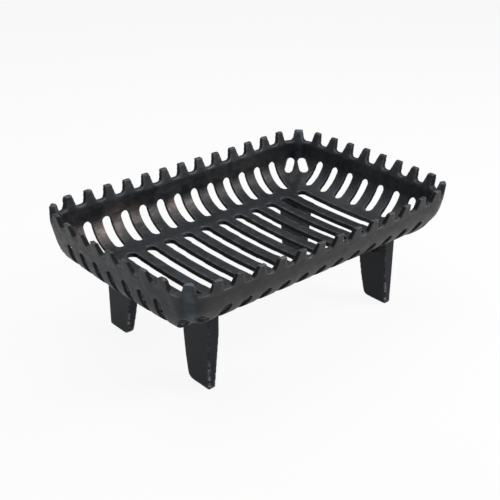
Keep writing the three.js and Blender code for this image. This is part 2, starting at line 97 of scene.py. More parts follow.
BACK = Wall(BASKET_WIDTH, 11.0, 37.5, FLOOR_RISE, 0.0, 39.5, 6.0, 12.8)
FRONT = Wall(BASKET_WIDTH, 12.4, 61.0, 3.4, 4.0, 37.0, 23.0, 12.8)
RIGHT = Wall(BASKET_LENGTH, 22.0, 62.0, 0.0, 14.0, 36.5, 30.0, 12.0)
LEFT = Wall(BASKET_LENGTH, 14.6, 37.0, 0.0, 4.0, 33.0, 10.0, 12.0)

CORNER_X = BASKET_LENGTH / 2 - SHORT_SIDE_BOW - RIM_CORNER_RADIUS
CORNER_Y = BASKET_WIDTH / 2 - LONG_SIDE_BOW - RIM_CORNER_RADIUS
BEND_ROWS = 12
LONG_STEPS, CORNER_STEPS, SHORT_STEPS = 26, 12, 18


def floor_top(y):
    return FLOOR_HEIGHT + FLOOR_RISE * (y / BACK.across) ** 2


# The section of a wall from the tooth tops down to the floor's edge, on its inner or outer skin.
def wall_section(wall, outer):
    start = math.pi / 2 - wall.flare
    bend = []
    for row in range(BEND_ROWS + 1):
        share = row / BEND_ROWS
        depth = WALL_THICKNESS + (FLOOR_THICKNESS - WALL_THICKNESS) * share ** 3
        bend.append(wall.at(start + (wall.end - start) * share, depth if outer else 0.0))
    tangent = wall.at(start, WALL_THICKNESS)
    fall = (RIM_HEIGHT - THICKEST_HEIGHT) / (RIM_HEIGHT - tangent[1])
    thickest = wall.span + (tangent[0] - wall.span) * fall
    top = (wall.span - (0 if outer else TOOTH_THICKNESS), RIM_HEIGHT)
    return [top, (thickest - (0 if outer else RIM_THICKNESS), THICKEST_HEIGHT)] + bend


# How much of the rim's bow and dip, of the floor's dish and of the corner's sag a row has, and its
# corner radius, from the rim (0) to the floor's edge (5).
ROW = [0, 1, 2, 3, 4, 5]
ROW_BOW = [1, 0.7, 0.4, 0.2, 0.1, 0]
ROW_DIP = [1, 1, 1, 0.5, 0, 0]
ROW_DISH = [0, 0, 0, 0.2, 0.7, 1]
ROW_RADIUS = [RIM_CORNER_RADIUS, 31, 26, 23, 19, 14]
ROW_SAG = [0, 0, 0, 0.6, 1, 0.3]
BACK_RIGHT_SAG = 3
FRONT_RIGHT_SAG = 6
FRONT_LEFT_SAG = -5
BACK_LEFT_SAG = 1


def quarter_row(row, long, short, sag):
    place = row if row < 2 else 2 + 3 * (row - 2) / BEND_ROWS
    bow, dip, dish = (float(np.interp(place, ROW, values)) for values in (ROW_BOW, ROW_DIP, ROW_DISH))
    radius, droop = (float(np.interp(place, ROW, values)) for values in (ROW_RADIUS, ROW_SAG))
    end_x = short[0] - SHORT_SIDE_BOW * bow
    end_y = long[0] - LONG_SIDE_BOW * bow
    centre_x, centre_y = end_x - radius, end_y - radius
    points = []

    def short_height(y):
        return short[1] + dish * (floor_top(y) - FLOOR_HEIGHT)

    for step in range(LONG_STEPS):
        x = centre_x * step / LONG_STEPS
        swell = 1 - min(x / CORNER_X, 1) ** 2
        points.append((x, end_y + LONG_SIDE_BOW * bow * swell, long[1] - LONG_SIDE_DIP * dip * swell))
    for step in range(CORNER_STEPS + 1):
        angle = math.pi / 2 * (1 - step / CORNER_STEPS)
        x, y = centre_x + radius * math.cos(angle), centre_y + radius * math.sin(angle)
        share = math.sin(angle) ** 2
        drop = sag * droop * math.sin(2 * angle) ** 2
        points.append((x, y, long[1] * share + short_height(y) * (1 - share) - drop))
    for step in range(1, SHORT_STEPS + 1):
        y = centre_y * (1 - step / SHORT_STEPS)
        swell = 1 - min(y / CORNER_Y, 1) ** 2
        z = short_height(y) - SHORT_SIDE_DIP * dip * swell
        points.append((end_x + SHORT_SIDE_BOW * bow * swell, y, z))
    return points


def skin_rows(outer):
    back, front, right, left = (wall_section(wall, outer) for wall in (BACK, FRONT, RIGHT, LEFT))
    rows = []
    for row in range(len(back)):
        def quarter(long, short, sag, sign_x, sign_y):
            points = quarter_row(row, long[row], short[row], sag)
            return [(x * sign_x, y * sign_y, z) for x, y, z in points]
        rows.append(
            quarter(back, right, BACK_RIGHT_SAG, 1, 1)
            + quarter(front, right, FRONT_RIGHT_SAG, 1, -1)[::-1][1:]
            + quarter(front, left, FRONT_LEFT_SAG, -1, -1)[1:]
            + quarter(back, left, BACK_LEFT_SAG, -1, 1)[::-1][1:-1]
        )
    return rows


# The floor's rows run in from its edge to a small ring at its middle.
FLOOR_RINGS = (0.97, 0.94, 0.9, 0.85, 0.79, 0.72, 0.63, 0.53, 0.42, 0.3, 0.18, 0.06)


def floor_rows(edge, depth):
    rows = []
    for share in FLOOR_RINGS:
        row = []
        for x, y, z in edge:
            level = floor_top(y * share) - depth
            row.append((x * share, y * share, level + (z + depth - floor_top(y)) * share ** 12))
        rows.append(row)
    return rows


def deselect_all():
    if bpy.context.object and bpy.context.object.mode != "OBJECT":
        bpy.ops.object.mode_set(mode="OBJECT")
    bpy.ops.object.select_all(action="DESELECT")


# Raises a tube row by row from a small ring and closes both its ends.
def lofted(name, rows):
    deselect_all()
    bpy.ops.mesh.primitive_circle_add(
        vertices=len(rows[0]), radius=1.0, fill_type="NOTHING", enter_editmode=True)
    piece = bpy.context.object
    piece.name = name
    mesh = bmesh.from_edit_mesh(piece.data)
    mesh.verts.ensure_lookup_table()
    ring = list(mesh.verts)
    for vert, point in zip(ring, rows[0]):
        vert.co = Vector(point) * MM
    bpy.ops.mesh.select_all(action="SELECT")
    bpy.ops.mesh.edge_face_add()
    for row in rows[1:]:
        place = {tuple(round(c, 9) for c in vert.co): i for i, vert in enumerate(ring)}
        bpy.ops.mesh.select_all(action="DESELECT")
        for vert in ring:
            vert.select = True
        for edge in mesh.edges:
            if edge.verts[0].select and edge.verts[1].select:
                edge.select = True
        bpy.ops.mesh.extrude_edges_move()
        raised = [vert for vert in mesh.verts if vert.select]
        ring = [None] * len(row)
        for vert in raised:
            ring[place[tuple(round(c, 9) for c in vert.co)]] = vert
        for vert, point in zip(ring, row):
            vert.co = Vector(point) * MM
    bpy.ops.mesh.edge_face_add()
    bpy.ops.mesh.select_all(action="SELECT")
    bpy.ops.mesh.normals_make_consistent(inside=False)
    bpy.ops.object.mode_set(mode="OBJECT")
    return piece


outer_skin, inner_skin = skin_rows(True), skin_rows(False)
basket = lofted("basket_casting", (
    floor_rows(outer_skin[-1], FLOOR_THICKNESS)[::-1] + outer_skin[::-1]
    + inner_skin + floor_rows(inner_skin[-1], 0.0)
))


# A cutter with two round ends, standing on the ground plane: its length runs along Y.
def round_ended(width, length, depth, place):
    deselect_all()
    bpy.ops.mesh.primitive_cylinder_add(
        vertices=28, radius=width / 2 * MM, depth=depth * MM, enter_editmode=True)
    cutter = bpy.context.object
    mesh = bmesh.from_edit_mesh(cutter.data)
    spread = max((length - width) / 2, 0) * MM
    for vert in mesh.verts:
        vert.co.y += math.copysign(spread, vert.co.y) if abs(vert.co.y) > 1e-7 else 0
    bpy.ops.object.mode_set(mode="OBJECT")
    cutter.data.transform(place)
    return cutter


def joined(cutters):
    deselect_all()
    for cutter in cutters:
        cutter.select_set(True)
    bpy.context.view_layer.objects.active = cutters[0]
    if len(cutters) > 1:
        bpy.ops.object.join()
    return cutters[0]


def cut_away(piece, cutters, operation="DIFFERENCE"):
    tool = joined(cutters)
    deselect_all()
    piece.select_set(True)
    bpy.context.view_layer.objects.active = piece
    cut = piece.modifiers.new("cut", "BOOLEAN")
    cut.operation, cut.solver, cut.object = operation, "EXACT", tool
    bpy.ops.object.modifier_apply(modifier="cut")
    bpy.data.objects.remove(tool)


# The castellations: the middles of the tooth tops, clockwise from above.
def tooth_places():
    inset = TOOTH_THICKNESS / 2
    places = []

    def long_side(sign):
        for tooth in range(LONG_SIDE_TEETH):
            share = -1 + 2 * tooth / (LONG_SIDE_TEETH - 1)
            y = BASKET_WIDTH / 2 - inset - LONG_SIDE_BOW * share ** 2
            z = RIM_HEIGHT - LONG_SIDE_DIP * (1 - share ** 2)
            places.append(Vector((sign * CORNER_X * share, sign * y, z)))

    def short_side(sign):
        for tooth in range(SHORT_SIDE_TEETH):
            share = 1 - 2 * tooth / (SHORT_SIDE_TEETH - 1)
            x = BASKET_LENGTH / 2 - inset - SHORT_SIDE_BOW * share ** 2
            z = RIM_HEIGHT - SHORT_SIDE_DIP * (1 - share ** 2)
            places.append(Vector((sign * x, sign * CORNER_Y * share, z)))

    def corner(sign_x, sign_y):
        reach = (RIM_CORNER_RADIUS - inset) * math.sqrt(0.5)
        places.append(Vector((sign_x * (CORNER_X + reach), sign_y * (CORNER_Y + reach), RIM_HEIGHT)))

    long_side(1)
    corner(1, 1)
    short_side(1)
    corner(1, -1)
    long_side(-1)
    corner(-1, -1)
    short_side(-1)
    corner(-1, 1)
    return places


# The gap between two teeth: wide at the top, with both its roots rounded. The cutter stands over
# the tooth tops.
CUTTER_OVER = 6.0


def tooth_gap(first, second):
    spacing = (second - first).length
    low, high = (spacing - TOOTH_BASE_WIDTH) / 2, (spacing - TOOTH_TOP_WIDTH) / 2
    slope = (high - low) / TOOTH_HEIGHT
    deselect_all()
    bpy.ops.mesh.primitive_cube_add(size=1.0, enter_editmode=True)
    cutter = bpy.context.object
    mesh = bmesh.from_edit_mesh(cutter.data)
    for vert in mesh.verts:
        top = vert.co.z > 0
        half = high + slope * CUTTER_OVER if top else low
        vert.co = Vector((
            math.copysign(half, vert.co.x), math.copysign(3 * RIM_THICKNESS, vert.co.y),
            TOOTH_HEIGHT + CUTTER_OVER if top else 0.0,
        )) * MM
    bpy.ops.mesh.select_all(action="DESELECT")
    for edge in mesh.edges:
        a, b = edge.verts
        if a.co.z < 1e-6 and b.co.z < 1e-6 and abs(a.co.x - b.co.x) < 1e-6:
            edge.select = True
    bpy.ops.mesh.bevel(offset=min(TOOTH_ROOT_RADIUS, low * 0.9) * MM, segments=4, affect="EDGES")
    bpy.ops.object.mode_set(mode="OBJECT")
    middle = (first + second) / 2
    turn = math.atan2(second.y - first.y, second.x - first.x)
    place = Matrix.Translation(Vector((middle.x, middle.y, middle.z - TOOTH_HEIGHT)) * MM)
    cutter.data.transform(place @ Matrix.Rotation(turn, 4, "Z"))
    return cutter


teeth = tooth_places()
cut_away(basket, [tooth_gap(tooth, teeth[(i + 1) % len(teeth)]) for i, tooth in enumerate(teeth)])


# A slot follows its wall's bend: a round-ended bar whose length is wrapped round the bend. The
# cutter runs from inside the bend, by a share of its radius, to well outside the wall.
END_STEPS = 12
CUTTER_INSIDE = 0.55
CUTTER_OUTSIDE = 60.0


def wall_slot(wall, top, shift, facing):
    radius = wall.slot_width / 2
    drop = wall.height - top + radius
    straight = max(wall.bend * math.sin(wall.flare) - drop, 0.0)
    start = min(math.pi / 2 - wall.flare, math.acos(min(max(drop / wall.bend, 0), 1)))
    foot = wall.slot_foot + radius / wall.bend
    sweep = (start - foot) * wall.bend + straight
    deselect_all()
    bpy.ops.mesh.primitive_cylinder_add(vertices=48, radius=1.0, depth=2.0, enter_editmode=True)
    cutter = bpy.context.object
    mesh = bmesh.from_edit_mesh(cutter.data)
    turn = Matrix.Rotation(facing, 4, "Z")
    verts = sorted(mesh.verts, key=lambda vert: (vert.co.z > 0, math.atan2(vert.co.y, vert.co.x)))
    side = len(verts) // 2
    straight_steps = side // 2 - END_STEPS
    path = []
    for step in range(END_STEPS + 1):
        angle = math.pi * step / END_STEPS - math.pi / 2
        path.append((radius * math.cos(angle) + sweep, radius * math.sin(angle)))
    for step in range(1, straight_steps):
        path.append((sweep * (1 - step / straight_steps), radius))
    for step in range(END_STEPS + 1):
        angle = math.pi * step / END_STEPS + math.pi / 2
        path.append((radius * math.cos(angle), radius * math.sin(angle)))
    for step in range(1, straight_steps):
        path.append((sweep * step / straight_steps, -radius))
    for order, vert in enumerate(verts):
        along, aside = path[order % side]
        angle = foot + along / wall.bend
        lift = max(angle - (math.pi / 2 - wall.flare), 0.0) * wall.bend
        angle = min(angle, math.pi / 2 - wall.flare)
        depth = CUTTER_OUTSIDE if order >= side else -CUTTER_INSIDE * wall.bend
        across, height = wall.at(angle, depth)
        across += lift * math.sin(wall.flare)
        height += lift * math.cos(wall.flare)
        vert.co = turn @ (Vector((across, aside, height)) * MM)
        if facing in (0.0, math.pi):
            vert.co.y += shift * MM
        else:
            vert.co.x += shift * MM
    bpy.ops.mesh.select_all(action="SELECT")
    bpy.ops.mesh.quads_convert_to_tris()
    bpy.ops.mesh.normals_make_consistent(inside=False)
    bpy.ops.object.mode_set(mode="OBJECT")
    return cutter


LONG_WALL_SLOTS = 12
SHORT_WALL_SLOTS = 7
LONG_ROW = CORNER_X - 20.3
SHORT_ROW = CORNER_Y - 18.0
SLOT_ROW_DIP = 1.8
for wall, facing in ((BACK, math.pi / 2), (FRONT, -math.pi / 2)):
    slots = []
    for slot in range(LONG_WALL_SLOTS):
        share = -1 + 2 * slot / (LONG_WALL_SLOTS - 1)
        top = wall.slot_top - SLOT_ROW_DIP * (1 - share ** 2)
        slots.append(wall_slot(wall, top, LONG_ROW * share, facing))
    cut_away(basket, slots)
for wall, facing in ((RIGHT, 0.0), (LEFT, math.pi)):
    slots = []
    for slot in range(SHORT_WALL_SLOTS):
        share = -1 + 2 * slot / (SHORT_WALL_SLOTS - 1)
        slots.append(wall_slot(wall, wall.slot_top, SHORT_ROW * share, facing))
    cut_away(basket, slots)

# The long slots through the floor leave eleven bars inside its border.
FLOOR_SLOTS = 12
FLOOR_SLOT_WIDTH = 14.3
FLOOR_SLOT_DEPTH = 40.0
FLOOR_SLOT_END = BACK.across - 15.5
FLOOR_ROW = CORNER_X - 16.3
slots = []
for slot in range(FLOOR_SLOTS):
    share = -1 + 2 * slot / (FLOOR_SLOTS - 1)
    place = Matrix.Translation(Vector((FLOOR_ROW * share, 0, FLOOR_HEIGHT)) * MM)
    slots.append(round_ended(FLOOR_SLOT_WIDTH, 2 * FLOOR_SLOT_END, FLOOR_SLOT_DEPTH, place))
cut_away(basket, slots)

# Two oval openings beside each corner's rib. The back right pair sits a little to one side. The
# openings of one hand are cut at all four corners before those of the other.
CORNER_RIB_WIDTH = 12.5
OVAL_WIDTH = 10.5
OVAL_HEIGHT = 23.0
OVAL_BELOW_RIM = 33.5
OVAL_OUT = 0.45
BACK_RIGHT_SHIFT = 2.8
OVAL_SPACING = (CORNER_RIB_WIDTH + OVAL_WIDTH) / 2
OVAL_TURN = math.radians(20)
OVAL_TILT = math.radians(30)
OVAL_REACH = 60.0
for hand in (1, -1):
    ovals = []
    for sign_x, sign_y in ((1, 1), (1, -1), (-1, 1), (-1, -1)):
        aside = -hand * OVAL_SPACING + (BACK_RIGHT_SHIFT if sign_x + sign_y > 0 else 0.0)
        out = RIM_CORNER_RADIUS * OVAL_OUT * math.sqrt(0.5)
        top = RIM_HEIGHT - OVAL_BELOW_RIM
        corner = Vector((sign_x * (CORNER_X + out), sign_y * (CORNER_Y + out), top))
        place = Matrix.Translation(corner * MM)
        place = place @ Matrix.Rotation(math.atan2(sign_y, sign_x) + math.pi / 2, 4, "Z")
        place = place @ Matrix.Translation(Vector((aside, 0, 0)) * MM)
        place = place @ Matrix.Rotation(hand * OVAL_TURN, 4, "Z")
        place = place @ Matrix.Rotation(math.pi / 2 + OVAL_TILT, 4, "X")
        place = place @ Matrix.Translation(Vector((0, -OVAL_HEIGHT / 2, OVAL_REACH * 0.2)) * MM)
        ovals.append(round_ended(OVAL_WIDTH, OVAL_HEIGHT, OVAL_REACH, place))
    cut_away(basket, ovals)

# Four lugs cast under the floor, each drilled for a bolt.
LEG_FACE = BASKET_LENGTH / 2 - 71.0
LEG_EDGE = BASKET_WIDTH / 2 - 50.1
LEG_TOP_THICKNESS = 15.8
LUG_FACE = LEG_FACE - LEG_TOP_THICKNESS
LUG_THICKNESS = 6.5
LUG_INNER_REACH = 10.0
LUG_OUTER_REACH = 15.0
LUG_DROP = 17.5
LUG_IN_FLOOR = 3.5
LUG_CHAMFER = 9.0
BOLT_HOLE = 6.6
HOLE_INSET = 3.0
HOLE_DEPTH = 16.0
BOLT_ACROSS = LEG_EDGE - 25.6
FLOOR_BOTTOM = floor_top(BOLT_ACROSS) - FLOOR_THICKNESS
BOLT_HEIGHT = FLOOR_BOTTOM - 10.4
lugs, holes = [], []
for sign_x, sign_y in ((1, 1), (1, -1), (-1, 1), (-1, -1)):
    deselect_all()
    bpy.ops.mesh.primitive_cube_add(size=1.0, enter_editmode=True)
    lug = bpy.context.object
    mesh = bmesh.from_edit_mesh(lug.data)
    for vert in mesh.verts:
        x = LUG_FACE + (LUG_THICKNESS if vert.co.x > 0 else 0.0)
        y = BOLT_ACROSS + (LUG_OUTER_REACH if vert.co.y > 0 else -LUG_INNER_REACH)
        z = FLOOR_BOTTOM + (LUG_IN_FLOOR if vert.co.z > 0 else -LUG_DROP)
        vert.co = Vector((sign_x * x, sign_y * y, z)) * MM
    bpy.ops.mesh.select_all(action="DESELECT")
    low = min(vert.co.z for vert in mesh.verts) + 1e-6
    wide = max(abs(vert.co.y) for vert in mesh.verts) - 1e-6
    for edge in mesh.edges:
        if all(vert.co.z < low and abs(vert.co.y) > wide for vert in edge.verts):
            edge.select = True
    bpy.ops.mesh.bevel(offset=LUG_CHAMFER * MM, segments=1, affect="EDGES")
    bpy.ops.mesh.select_all(action="SELECT")
    bpy.ops.mesh.normals_make_consistent(inside=False)
    bpy.ops.object.mode_set(mode="OBJECT")
    lugs.append(lug)
    middle = Vector((sign_x * (LUG_FACE + HOLE_INSET), sign_y * BOLT_ACROSS, BOLT_HEIGHT))
    place = Matrix.Translation(middle * MM) @ Matrix.Rotation(math.pi / 2, 4, "Y")
    holes.append(round_ended(BOLT_HOLE, BOLT_HOLE, HOLE_DEPTH, place))
cut_away(basket, lugs, "UNION")
cut_away(basket, holes)

# Sand moulding rounds every edge: the cut shell is remeshed finely and eased.
BASKET_VOXEL = 1.25
deselect_all()
basket.select_set(True)
bpy.context.view_layer.objects.active = basket
remesh = basket.modifiers.new("cast", "REMESH")
remesh.mode, remesh.voxel_size = "VOXEL", BASKET_VOXEL * MM
bpy.ops.object.modifier_apply(modifier="cast")
ease = basket.modifiers.new("ease", "SMOOTH")
ease.factor, ease.iterations = 0.5, 2
bpy.ops.object.modifier_apply(modifier="ease")
bpy.ops.object.shade_smooth()


# Marks each vertex with how far it stands out from its neighbours, as an edge that wears does.
# Standing out by "sharp" mm counts as 1, and the marks are evened out over the neighbours twice.
def mark_edges(piece, sharp):
    mesh = piece.data
    count = len(mesh.vertices)
    places = np.empty(count * 3)
    mesh.vertices.foreach_get("co", places)
    places = places.reshape(-1, 3)
    normals = np.empty(count * 3)
    mesh.vertex_normals.foreach_get("vector", normals)
    normals = normals.reshape(-1, 3)
    ends = np.empty(len(mesh.edges) * 2, dtype=np.int64)
    mesh.edges.foreach_get("vertices", ends)
    ends = ends.reshape(-1, 2)
    total, near = np.zeros((count, 3)), np.zeros(count)
    for a, b in ((0, 1), (1, 0)):
        np.add.at(total, ends[:, a], places[ends[:, b]])
        np.add.at(near, ends[:, a], 1)
    proud = np.einsum("ij,ij->i", places - total / near[:, None], normals) / (sharp * MM)
    for _ in range(2):
        spread = np.zeros(count)
        for a, b in ((0, 1), (1, 0)):
            np.add.at(spread, ends[:, a], proud[ends[:, b]])
        proud = 0.5 * proud + 0.5 * spread / near
    mark = mesh.attributes.new("edge", "FLOAT", "POINT")
    mark.data.foreach_set("value", np.clip(proud, 0, 1).astype(np.float32))


mark_edges(basket, 0.16)

# The sides of slots and teeth get painted shade, near black, as hollows that fall into shade. They
# are marked by the way they face, which on the short walls is along Y and elsewhere along X. In each
# clip the mark starts at the first number and is full the second number further on.
count = len(basket.data.vertices)
places = np.empty(count * 3)
basket.data.vertices.foreach_get("co", places)
places = np.abs(places.reshape(-1, 3)) / MM
facing = np.empty(count * 3)
basket.data.vertex_normals.foreach_get("vector", facing)
facing = np.abs(facing.reshape(-1, 3))
short_wall = np.clip((places[:, 0] - 160) / 12, 0, 1) * np.clip((125 - places[:, 1]) / 8, 0, 1)
cut = np.clip((facing[:, 0] - 0.55) / 0.3, 0, 1) * (1 - short_wall)
cut = cut * (1 - np.clip((places[:, 0] - 172) / 8, 0, 1))
cut = np.maximum(cut, np.clip((facing[:, 1] - 0.55) / 0.3, 0, 1) * short_wall)
in_slots = np.clip((RIM_HEIGHT - 30 - places[:, 2]) / 6, 0, 1)
in_teeth = np.clip((places[:, 2] - RIM_HEIGHT + 24) / 4, 0, 1)
cut = cut * np.maximum(in_slots, 0.9 * in_teeth)
mark = basket.data.attributes.new("cut", "FLOAT", "POINT")
mark.data.foreach_set("value", cut.astype(np.float32))

# The flat parts need fewer faces than the edges do.
BASKET_TRIANGLES = 192000
thin = basket.modifiers.new("thin", "DECIMATE")
thin.ratio = BASKET_TRIANGLES / (2 * len(basket.data.polygons))
bpy.ops.object.modifier_apply(modifier="thin")


def shade(text):
    parts = [int(text[i:i + 2], 16) / 255 for i in (1, 3, 5)]
    return tuple(c / 12.92 if c <= 0.04045 else ((c + 0.055) / 1.055) ** 2.4 for c in parts) + (1.0,)


# Adds a node with its settings and links, and gives back the output that is asked for.
def add_node(material, kind, output, inputs=None, **settings):
    node = material.node_tree.nodes.new(kind)
    for name, value in settings.items():
        setattr(node, name, value)
    for socket, value in (inputs or {}).items():
        if isinstance(value, bpy.types.NodeSocket):
            material.node_tree.links.new(value, node.inputs[socket])
        else:
            node.inputs[socket].default_value = value
    return node.outputs[output]


# Lays a colour over another where all its masks are strong. A mask is a value, the two ends between
# which it is read, and how strong it is at each of them.
def lay_over(material, colour, tone, masks):
    amount = 1.0
    for value, low, high, weak, strong in masks:
        share = add_node(material, "ShaderNodeMapRange", "Result", {
            "Value": value, "From Min": low, "From Max": high, "To Min": weak, "To Max": strong})
        amount = add_node(material, "ShaderNodeMath", "Value", {
            0: amount, 1: share}, operation="MULTIPLY")
    return add_node(material, "ShaderNodeMix", 2, {
        "Factor": amount, 6: colour, 7: shade(tone)}, data_type="RGBA")


# Sand-cast grey iron under stove blacking: a nearly black, satin skin with the sand's grain, rubbed
# to bare grey on its edges. Painted shade darkens the sides of slots and teeth, and painted highlights
# lie tan on the bars of the back wall and blue-grey down the corner ribs. The real grain is under 1 mm
# and would not show, so it is drawn coarser. The stated sizes are of the patterns, in mm.
GRAIN = 2.2
SHEEN_STREAK = 4.0
PATCH = 9.0
STREAK = 14.0
MOTTLE = 38.0
iron = bpy.data.materials.new("blackened_sand_cast_iron")
iron.use_nodes = True
surface = iron.node_tree.nodes["Principled BSDF"]
place = add_node(iron, "ShaderNodeTexCoord", "Object")
drawn_out = add_node(iron, "ShaderNodeMapping", "Vector", {"Vector": place, "Scale": (0.4, 0.4, 1.3)})
mottle, patch, grain, streak, sheen_streak = (
    add_node(iron, "ShaderNodeTexNoise", "Fac", {
        "Vector": vector, "Scale": 1 / (size * MM), "Detail": detail, "Roughness": roughness})
    for vector, size, detail, roughness in (
        (place, MOTTLE, 5.0, 0.6), (place, PATCH, 3.0, 0.55), (place, GRAIN, 3.0, 0.6),
        (drawn_out, STREAK, 4.0, 0.6), (drawn_out, SHEEN_STREAK, 5.0, 0.7)))
x, y, z = (add_node(iron, "ShaderNodeSeparateXYZ", axis, {"Vector": place}) for axis in "XYZ")
from_middle = add_node(iron, "ShaderNodeVectorMath", "Vector", {0: place}, operation="ABSOLUTE")
out_x, out_y = (
    add_node(iron, "ShaderNodeSeparateXYZ", axis, {"Vector": from_middle}) for axis in "XY")
off_ridge = add_node(iron, "ShaderNodeMath", "Value", {0: out_x, 1: out_y}, operation="SUBTRACT")
off_ridge = add_node(iron, "ShaderNodeMath", "Value", {
    0: off_ridge, 1: (CORNER_X - CORNER_Y) * MM}, operation="SUBTRACT")
off_ridge = add_node(iron, "ShaderNodeMath", "Value", {0: off_ridge}, operation="ABSOLUTE")
worn = add_node(iron, "ShaderNodeAttribute", "Fac", attribute_name="edge")
shaded_sides = add_node(iron, "ShaderNodeAttribute", "Fac", attribute_name="cut")
# Where the painted highlight lies on the bars of the back wall's bend, stronger to the left.
back_bar_highlight = [
    (y, 88 * MM, 106 * MM, 0, 1), (z, 152 * MM, 128 * MM, 0, 1), (mottle, 0.4, 0.6, 0, 1),
    (x, 150 * MM, -120 * MM, 0.3, 0.95), (streak, 0.35, 0.6, 0.4, 0.9), (z, 102 * MM, 109 * MM, 0, 1)]
colour = shade("#1b1e21")
for tone, masks in (
    ("#272b30", [(mottle, 0.35, 0.65, 0, 1)]),
    ("#3f4044", [(patch, 0.5, 0.7, 0, 0.3)]),
    # the front wall is warmer, and the left wall bluer, with browner teeth
    ("#353230", [(y, -114 * MM, -124 * MM, 0, 1), (streak, 0.4, 0.62, 0.25, 0.9)]),
    ("#282d32", [(x, -188 * MM, -205 * MM, 0, 1), (streak, 0.4, 0.6, 0.3, 0.85)]),
    ("#3b3734", [
        (z, 146 * MM, 156 * MM, 0, 1), (x, -190 * MM, -210 * MM, 0, 1),
        (patch, 0.42, 0.58, 0.1, 0.8)]),
    # painted highlight, tan and pinkish, on the bars of the back wall's bend, in scratch-like streaks
    ("#665b55", back_bar_highlight),
    ("#9a8b80", back_bar_highlight + [(sheen_streak, 0.52, 0.64, 0, 0.55)]),
    # painted highlight, blue-grey, down each corner's rib
    ("#4a5763", [
        (off_ridge, 11 * MM, 3 * MM, 0, 1), (out_x, 192 * MM, 204 * MM, 0, 1),
        (streak, 0.38, 0.6, 0.2, 0.8)]),
    # bare grey on worn edges, and painted shade, near black, inside slots and between teeth
    ("#66696f", [(worn, 0, 1, 0, 0.6), (patch, 0.35, 0.6, 0.15, 1)]),
    ("#0e0f11", [(shaded_sides, 0, 1, 0, 0.8)]),
):
    colour = lay_over(iron, colour, tone, masks)
gloss = add_node(iron, "ShaderNodeMapRange", "Result", {
    "Value": patch, "From Min": 0.3, "From Max": 0.7, "To Min": 0.4, "To Max": 0.56})
gloss = add_node(iron, "ShaderNodeMath", "Value", {
    0: shaded_sides, 1: 0.35, 2: gloss}, operation="MULTIPLY_ADD")
bumps = add_node(iron, "ShaderNodeBump", "Normal", {
    "Height": grain, "Strength": 0.45, "Distance": 0.25 * MM})
bumps = add_node(iron, "ShaderNodeBump", "Normal", {
    "Height": patch, "Strength": 0.5, "Distance": 1.0 * MM, "Normal": bumps})
for value, socket in ((colour, "Base Color"), (gloss, "Roughness"), (bumps, "Normal")):
    iron.node_tree.links.new(value, surface.inputs[socket])
surface.inputs["Metallic"].default_value = 0.4
surface.inputs["Specular IOR Level"].default_value = 0.36
basket.data.materials.clear()
basket.data.materials.append(iron)
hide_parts("basket")
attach(basket, "root")

# ------------------------------------------------------------------ legs
# Four flat blades cast in the same iron, in a smoother, bluer finish. Each is bolted to a lug under
# the floor and tapers to its foot. Handling has scuffed their ridges, most of all near the floor.

LEG_VOXEL = 0.85
CLOUD = 25.0
CHIP = 3.5
blue_iron = bpy.data.materials.new("blue_black_cast_iron")
blue_iron.use_nodes = True
surface = blue_iron.node_tree.nodes["Principled BSDF"]
place = add_node(blue_iron, "ShaderNodeTexCoord", "Object")
slant = add_node(blue_iron, "ShaderNodeMapping", "Vector", {
    "Vector": place, "Rotation": (0.6, -0.6, 0.0), "Scale": (0.4, 0.4, 1.0)})
cloud, chips = (
    add_node(blue_iron, "ShaderNodeTexNoise", "Fac", {
        "Vector": vector, "Scale": 1 / (size * MM), "Detail": 4.0, "Roughness": roughness})
    for vector, size, roughness in ((place, CLOUD, 0.5), (slant, CHIP, 0.65)))
height = add_node(blue_iron, "ShaderNodeSeparateXYZ", "Z", {"Vector": place})
ridge = add_node(blue_iron, "ShaderNodeAttribute", "Fac", attribute_name="edge")
colour = lay_over(blue_iron, shade("#171b20"), "#1f242a", [(cloud, 0, 1, 0, 1)])
colour = lay_over(blue_iron, colour, "#85888d", [
    (chips, 0.47, 0.56, 0, 1), (ridge, 0, 1, 0, 1), (height, 48 * MM, 16 * MM, 0.15, 1)])
bumps = add_node(blue_iron, "ShaderNodeBump", "Normal", {
    "Height": chips, "Strength": 0.3, "Distance": 0.25 * MM})
blue_iron.node_tree.links.new(colour, surface.inputs["Base Color"])
blue_iron.node_tree.links.new(bumps, surface.inputs["Normal"])
surface.inputs["Metallic"].default_value = 0.25
surface.inputs["Specular IOR Level"].default_value = 0.24
surface.inputs["Roughness"].default_value = 0.48

CORNERS = ("front_left", "front_right", "back_left", "back_right")
for name in ("leg_" + corner for corner in CORNERS):
    deselect_all()
    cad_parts[name].select_set(True)
    bpy.context.view_layer.objects.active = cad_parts[name]
    bpy.ops.object.duplicate()
    blade = bpy.context.object
    for key in list(blade.keys()):
        del blade[key]
    blade.parent = None
    blade.name = name + "_casting"
    bpy.ops.object.mode_set(mode="EDIT")
    bpy.ops.mesh.select_all(action="SELECT")
    bpy.ops.mesh.remove_doubles(threshold=0.01 * MM)
    bpy.ops.mesh.delete_loose()
    bpy.ops.object.mode_set(mode="OBJECT")
    remesh = blade.modifiers.new("cast", "REMESH")
    remesh.mode, remesh.voxel_size = "VOXEL", LEG_VOXEL * MM
    bpy.ops.object.modifier_apply(modifier="cast")
    ease = blade.modifiers.new("ease", "SMOOTH")
    ease.factor, ease.iterations = 0.5, 3
    bpy.ops.object.modifier_apply(modifier="ease")
    bpy.ops.object.shade_smooth()
    mark_edges(blade, 0.035)
    blade.data.materials.clear()
    blade.data.materials.append(blue_iron)
    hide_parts(name)
    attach(blade, "root")

# ------------------------------------------------------------------ bolts and washers
# Black-oxide steel hexagon bolts, one through each lug into its leg, with a flat washer under the
# head. The oxide is an even, oily black.

